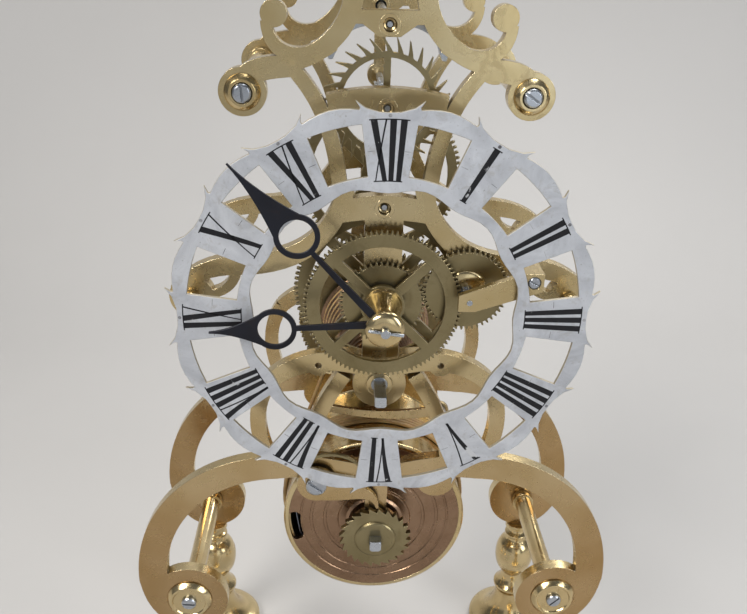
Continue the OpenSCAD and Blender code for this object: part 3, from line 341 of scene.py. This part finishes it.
def curve_smoother():
    """Node group that shades gentle bends smooth and keeps true corners sharp."""
    group = bpy.data.node_groups.new("smooth_curves", "GeometryNodeTree")
    for way in ("INPUT", "OUTPUT"):
        group.interface.new_socket("Geometry", in_out=way, socket_type="NodeSocketGeometry")
    start = group.nodes.new("NodeGroupInput")
    end = group.nodes.new("NodeGroupOutput")
    bend = group.nodes.new("GeometryNodeInputMeshEdgeAngle")
    corner = group.nodes.new("FunctionNodeCompare")
    corner.data_type = "FLOAT"
    corner.operation = "GREATER_THAN"
    corner.inputs["B"].default_value = math.radians(30)
    normals = group.nodes.new("GeometryNodeSetMeshNormal")
    normals.inputs["Remove Custom"].default_value = True
    group.links.new(start.outputs[0], normals.inputs["Mesh"])
    group.links.new(bend.outputs["Unsigned Angle"], corner.inputs["A"])
    group.links.new(corner.outputs[0], normals.inputs["Edge Sharpness"])
    group.links.new(normals.outputs[0], end.inputs[0])
    return group


SMOOTH_CURVES = curve_smoother()


def soften(part, width, curved):
    """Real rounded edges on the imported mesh: joined, dissolved to plain faces, then bevelled.
    A curved outline is shaded smooth along its bends."""
    weld = part.modifiers.new("weld", "WELD")
    weld.merge_threshold = 1e-6
    plain = part.modifiers.new("plain", "DECIMATE")
    plain.decimate_type = "DISSOLVE"
    plain.angle_limit = math.radians(0.5)
    if curved:
        part.modifiers.new("curves", "NODES").node_group = SMOOTH_CURVES
    bevel = part.modifiers.new("bevel", "BEVEL")
    bevel.width = width
    bevel.segments = 2
    bevel.limit_method = "ANGLE"
    bevel.angle_limit = math.radians(35)
    bevel.use_clamp_overlap = True
    bevel.harden_normals = True


# width of the rounding, for the pieces eased by hand and for all the others
EASED_EDGES = {"front_plate": 0.35 * MM, "rear_plate": 0.35 * MM, "dial_ring": 0.25 * MM}
PLAIN_EDGE = 0.14 * MM
SAWN_OUTLINES = (
    "front_plate", "rear_plate", "dial_ring", "hour_hand", "minute_hand", "setup_click",
    "setup_click_spring", "fusee_click", "stop_lever", "minute_cock", "back_cock",
)

for node_name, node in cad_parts.items():
    finish_node(node_name, node)
    soften(node, EASED_EDGES.get(node_name, PLAIN_EDGE), node_name in SAWN_OUTLINES)

# ---------- numerals and scribed marks on the dial ----------

# millimetres on the dial: radii from its centre, widths of the strokes, height above the face
NUMERAL_TOP = 71.3
NUMERAL_FOOT = 50.8
MEAN_RADIUS = 61.0
DOT_RADIUS = 72.5
SERIF = 0.42
THICK = 1.9
THIN = 0.5
RAISED = 0.05
STROKE_SLOPE = ((-1, 0.0), (-0.8, RAISED), (0.8, RAISED), (1, 0.0))
LINE_SLOPE = ((-1, 0.0), (-0.6, RAISED), (0.6, RAISED), (1, 0.0))
NUMERALS = ("XII", "I", "II", "III", "IIII", "V", "VI", "VII", "VIII", "IX", "X", "XI")


def dial_point(hour, across, radius, lift):
    """Metres: across is measured clockwise at the mean radius, lift forward of the dial's face."""
    turn = math.radians(30 * hour) + across / MEAN_RADIUS
    return Vector((
        dial_centre.x + radius * math.sin(turn) * MM,
        dial_front - lift * MM,
        dial_centre.z + radius * math.cos(turn) * MM,
    ))


def stroke(mesh, hour, foot, top, foot_width, top_width, bow=0.0, steps=8):
    """A bar from (across, radius) foot to top, raised off the dial, that may bow sideways."""
    rows = []
    for i in range(steps + 1):
        share = i / steps
        across = foot[0] + (top[0] - foot[0]) * share + bow * math.sin(math.pi * share)
        radius = foot[1] + (top[1] - foot[1]) * share
        half = (foot_width + (top_width - foot_width) * share) / 2
        rows.append([
            mesh.verts.new(dial_point(hour, across + side * half, radius, lift))
            for side, lift in STROKE_SLOPE
        ])
    for a, b in zip(rows, rows[1:]):
        for k in range(3):
            mesh.faces.new((a[k], a[k + 1], b[k + 1], b[k]))
        mesh.faces.new((a[3], a[0], b[0], b[3]))
    mesh.faces.new(rows[0][::-1])
    mesh.faces.new(rows[-1])


def arc_line(mesh, hour, first, last, radius, width, steps=10):
    """A thin line that follows the dial round at one radius."""
    rows = []
    for i in range(steps + 1):
        across = first + (last - first) * i / steps
        rows.append([
            mesh.verts.new(dial_point(hour, across, radius + side * width / 2, lift))
            for side, lift in LINE_SLOPE
        ])
    for a, b in zip(rows, rows[1:]):
        for k in range(3):
            mesh.faces.new((a[k], b[k], b[k + 1], a[k + 1]))
        mesh.faces.new((a[3], b[3], b[0], a[0]))
    mesh.faces.new(rows[0])
    mesh.faces.new(rows[-1][::-1])


def letter_width(letter, numeral):
    """Crowded numerals have slightly narrower letters."""
    if letter == "I":
        return 3.0
    return 6.6 if len(numeral) == 1 else 5.3 - 0.35 * (len(numeral) - 2)


def draw_letter(mesh, hour, letter, left, width):
    """One letter, its foot towards the dial's centre, with thin serifs at both ends."""
    right = left + width
    middle_line = (left + right) / 2
    thick_at, thin_at = 0.95, 0.4             # how far in from its box a stroke's centre line starts
    reach = 0.1 if letter == "I" else 0.4     # how far a serif passes the box
    ends = (NUMERAL_TOP,) if letter == "V" else (NUMERAL_TOP, NUMERAL_FOOT)
    if letter == "I":
        stroke(mesh, hour, (middle_line, NUMERAL_FOOT), (middle_line, NUMERAL_TOP), THICK * 1.06, THICK)
    elif letter == "V":
        foot = (middle_line + 0.3, NUMERAL_FOOT)
        stroke(mesh, hour, foot, (left + thick_at, NUMERAL_TOP), THICK * 0.6, THICK, 0.25)
        stroke(mesh, hour, foot, (right - thin_at, NUMERAL_TOP), THIN, THIN, -0.2)
    else:
        foot, top = (right - thick_at, NUMERAL_FOOT), (left + thick_at, NUMERAL_TOP)
        stroke(mesh, hour, foot, top, THICK, THICK, -0.25)
        foot, top = (left + thin_at, NUMERAL_FOOT), (right - 0.5, NUMERAL_TOP)
        stroke(mesh, hour, foot, top, THIN, THIN, 0.2)
    for radius in ends:
        arc_line(mesh, hour, left - reach, right + reach, radius, SERIF)


def mesh_piece(name, mesh, material, body):
    """Turns a bmesh into a piece that rides on a body, with the given material."""
    bmesh.ops.recalc_face_normals(mesh, faces=mesh.faces)
    data = bpy.data.meshes.new(name)
    mesh.to_mesh(data)
    mesh.free()
    piece = bpy.data.objects.new(name, data)
    bpy.context.scene.collection.objects.link(piece)
    data.materials.append(material)
    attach(piece, body)


def numerals():
    mesh = bmesh.new()
    for hour, numeral in enumerate(NUMERALS):
        widths = [letter_width(letter, numeral) for letter in numeral]
        left = -sum(widths) / 2
        for letter, width in zip(numeral, widths):
            draw_letter(mesh, hour, letter, left, width)
            left += width
    worn_at = dial_point(5, -2.0, 68.0, 0.0)
    wax = numeral_wax("numeral_wax", dial_centre, worn_at)
    mesh_piece("dial_numerals", mesh, wax, "root")


def raised_dot(mesh, hour):
    """A small dot with a sloping rim above one numeral."""
    sides, rim_size, top_size, squeeze = 14, 0.62, 0.45, 0.85
    rim, top = [], []
    for k in range(sides):
        turn = 2 * math.pi * k / sides
        for ring, size, lift in ((rim, rim_size, 0.0), (top, top_size, RAISED)):
            across, radius = size * math.cos(turn) * squeeze, DOT_RADIUS + size * math.sin(turn)
            ring.append(mesh.verts.new(dial_point(hour, across, radius, lift)))
    for k in range(sides):
        n = (k + 1) % sides
        mesh.faces.new((rim[k], rim[n], top[n], top[k]))
    mesh.faces.new(top)


def scribed_marks():
    """The faint setting-out circle, left at the edges of each block, and the dot above each numeral."""
    mark_start, mark_end = 4.7, 7.2
    mesh = bmesh.new()
    for hour in range(12):
        for side in (-1, 1):
            start, end = sorted((side * mark_start, side * mark_end))
            arc_line(mesh, hour, start, end, MEAN_RADIUS, 0.2)
        raised_dot(mesh, hour)
    dirt = scribed_line("scribed_line", dial_centre)
    mesh_piece("dial_scribing", mesh, dirt, "root")


def scribed_line(name, origin):
    """Dirt in the cut of a scribed line, uneven along its length."""
    t = Tree(name)
    coords = t.place(origin)
    fade = t.ramp(t.noise(coords, 130.0, 4.0, 0.65), 0.4, 0.65)
    colour = t.mix(fade, rgba((0.10, 0.10, 0.11)), rgba((0.46, 0.47, 0.49)))
    bump = t.add("Bump", {
        "Strength": 0.3, "Distance": 0.04 * MM, "Height": t.noise(coords, 900.0),
    }).outputs[0]
    surface = t.add("BsdfPrincipled", {
        "Base Color": colour, "Metallic": 0.3, "Roughness": t.ramp(fade, 0.0, 1.0, 0.6, 0.45),
        "Normal": bump,
    })
    return t.finish(surface.outputs[0])


numerals()
scribed_marks()

# ---------- studio ----------


def softbox(name, place, aim, width, height, power, tint=(1.0, 1.0, 1.0)):
    """A rectangular lamp; metres and watts."""
    lamp = bpy.data.lights.new(name, "AREA")
    lamp.shape = "RECTANGLE"
    lamp.size = width
    lamp.size_y = height
    lamp.energy = power
    lamp.color = tint
    light = bpy.data.objects.new(name, lamp)
    bpy.context.scene.collection.objects.link(light)
    light.location = place
    light.rotation_euler = (Vector(aim) - Vector(place)).to_track_quat("-Z", "Y").to_euler()


BACKDROP = (0.56, 0.55, 0.54)


def studio_paper():
    """Pale matt paper that fades into the backdrop away from the clock, for the camera only."""
    fade_from, fade_to = 0.7, 1.3
    t = Tree("studio_paper")
    tone = t.mix(t.noise(t.place(), 6.0), rgba((0.40, 0.39, 0.378)), rgba((0.43, 0.42, 0.408)))
    grit = t.add("Bump", {
        "Strength": 0.05, "Distance": 0.2 * MM, "Height": t.noise(t.place(), 900.0),
    }).outputs[0]
    paper = t.add("BsdfPrincipled", {"Base Color": tone, "Roughness": 0.75, "Normal": grit})
    away = t.add("VectorMath", {0: t.place()}, operation="LENGTH").outputs["Value"]
    fade = t.times(t.ramp(away, fade_from, fade_to), t.add("LightPath").outputs["Is Camera Ray"])
    haze = t.add("Emission", {"Color": rgba(BACKDROP)})
    surface = t.add("MixShader", {0: fade, 1: paper.outputs[0], 2: haze.outputs[0]})
    return t.finish(surface.outputs[0])


def studio():
    """Seamless sweep: a floor that curves up behind the clock."""
    depth, back, rise, half = 1.2, 0.75, 1.6, 1.8
    bend, steps = 0.35, 12
    profile = [(-depth, 0.0), (back - bend, 0.0)]
    profile += [
        (back - bend + bend * math.sin(a), bend - bend * math.cos(a))
        for a in (math.pi / 2 * k / steps for k in range(1, steps + 1))
    ]
    profile.append((back, rise))
    mesh = bmesh.new()
    rows = [[mesh.verts.new((side * half, y, z)) for side in (-1, 1)] for y, z in profile]
    for a, b in zip(rows, rows[1:]):
        mesh.faces.new((a[0], a[1], b[1], b[0])).smooth = True
    data = bpy.data.meshes.new("sweep")
    mesh.to_mesh(data)
    mesh.free()
    data.materials.append(studio_paper())
    sweep = bpy.data.objects.new("sweep", data)
    bpy.context.scene.collection.objects.link(sweep)


def sky():
    """Dim bluish air that lights the metal; the camera sees the plain backdrop instead."""
    world = bpy.data.worlds.new("studio_air")
    bpy.context.scene.world = world
    world.use_nodes = True
    nodes, links = world.node_tree.nodes, world.node_tree.links
    air = nodes["Background"]
    air.inputs["Color"].default_value = (0.80, 0.85, 0.92, 1.0)
    air.inputs["Strength"].default_value = 0.16
    backdrop = nodes.new("ShaderNodeBackground")
    backdrop.inputs["Color"].default_value = rgba(BACKDROP)
    seen = nodes.new("ShaderNodeLightPath")
    choice = nodes.new("ShaderNodeMixShader")
    links.new(seen.outputs["Is Camera Ray"], choice.inputs[0])
    links.new(air.outputs[0], choice.inputs[1])
    links.new(backdrop.outputs[0], choice.inputs[2])
    links.new(choice.outputs[0], nodes["World Output"].inputs["Surface"])
    bpy.context.scene.view_settings.view_transform = "Standard"


def lights():
    """Soft lamps round the clock, all aimed at the dial's centre."""
    aim = dial_centre
    softbox("key", (-0.75, -0.75, 1.05), aim, 0.6, 0.45, 15.0, (1.0, 0.97, 0.93))
    softbox("fill", (0.9, -0.7, 0.55), aim, 0.35, 0.7, 4.5, (0.93, 0.96, 1.0))
    softbox("top", (0.1, 0.25, 1.2), aim, 0.6, 0.35, 9.0)
    softbox("rim", (0.6, 0.6, 0.9), aim, 0.35, 0.35, 5.0)
    softbox("front", (-0.25, -1.4, 0.40), aim, 0.9, 0.8, 0.8)
    softbox("window", (0.42, -1.35, 0.34), aim, 0.45, 0.7, 1.1, (0.90, 0.95, 1.0))


# ---------- camera: from just above the dial, looking down on it ----------

CAMERA_PLACE = (-0.0159, -0.3151, 0.3625)
CAMERA_DOWN = 24.8          # degrees below level
CAMERA_YAW = -2.6
CAMERA_ROLL = 1.5
CAMERA_LENS = 39.7          # millimetres
CAMERA_SENSOR = 36.0


def camera():
    """The viewing angle: above the dial, a little to its left, looking down."""
    data = bpy.data.cameras.new("camera")
    data.lens = CAMERA_LENS
    data.sensor_width = CAMERA_SENSOR
    data.clip_start = 0.01
    eye = bpy.data.objects.new("camera", data)
    bpy.context.scene.collection.objects.link(eye)
    turn = (
        Matrix.Rotation(math.radians(CAMERA_YAW), 4, "Z")
        @ Matrix.Rotation(math.radians(90 - CAMERA_DOWN), 4, "X")
        @ Matrix.Rotation(math.radians(CAMERA_ROLL), 4, "Z")
    )
    eye.matrix_world = Matrix.Translation(CAMERA_PLACE) @ turn
    bpy.context.scene.camera = eye


studio()
sky()
lights()
camera()
